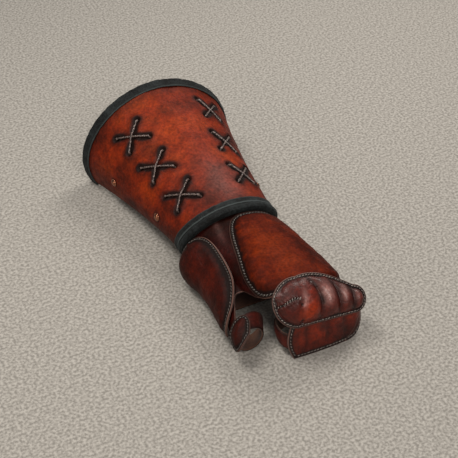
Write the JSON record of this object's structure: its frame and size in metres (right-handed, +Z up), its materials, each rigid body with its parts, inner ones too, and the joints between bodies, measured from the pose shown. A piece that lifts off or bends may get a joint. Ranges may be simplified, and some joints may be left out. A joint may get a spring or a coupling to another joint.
{
  "type": "leather gauntlet",
  "caption": "Left-hand leather gauntlet: a flared forearm cuff with laced crosses and suede bindings, and a glove body with moulded, stitched plates.",
  "frame": {"origin": "middle of the bottom of the bounding box, on the surface it rests on", "axes": "+Z up, out of the back of the hand; the fingers point to -Y and the cuff's rim faces +Y; the thumb is at -X"},
  "size_m": [0.1652, 0.324, 0.1045],
  "materials": {
    "cuff_leather": "waxed red-brown, burnished dark at its edges",
    "body_leather": "waxed red-brown",
    "plate_leather": "waxed, moulded, dyed dark along its stitched border",
    "guard_leather": "polished dark red-brown, moulded",
    "strap_leather": "waxed dark red-brown",
    "binding_suede": "black suede",
    "lace_cord": "waxed cord",
    "rivet_copper": "dark copper",
    "clasp_brass": "dull antique"
  },
  "bodies": {
    "root": {"cuff": "cuff_leather", "rim_binding": "binding_suede", "wrist_band": "binding_suede", "lacing_1": "lace_cord", "lacing_2": "lace_cord", "lacing_3": "lace_cord", "lacing_4": "lace_cord", "lacing_5": "lace_cord", "lacing_6": "lace_cord", "rivet_elbow_thumb_side": "rivet_copper", "rivet_elbow_little_side": "rivet_copper", "strap_elbow": "strap_leather", "clasp_elbow": "clasp_brass", "rivet_wrist_thumb_side": "rivet_copper", "rivet_wrist_little_side": "rivet_copper", "strap_wrist": "strap_leather", "clasp_wrist": "clasp_brass", "hand_body": "body_leather", "dorsal_plate": "plate_leather", "thumb_plate": "plate_leather", "thumb_tip_plate": "plate_leather", "knuckle_guard": "guard_leather", "finger_plate": "guard_leather", "palm_strap": "strap_leather", "thumb_strap": "strap_leather", "finger_strap": "strap_leather"}
  },
  "joints": []
}
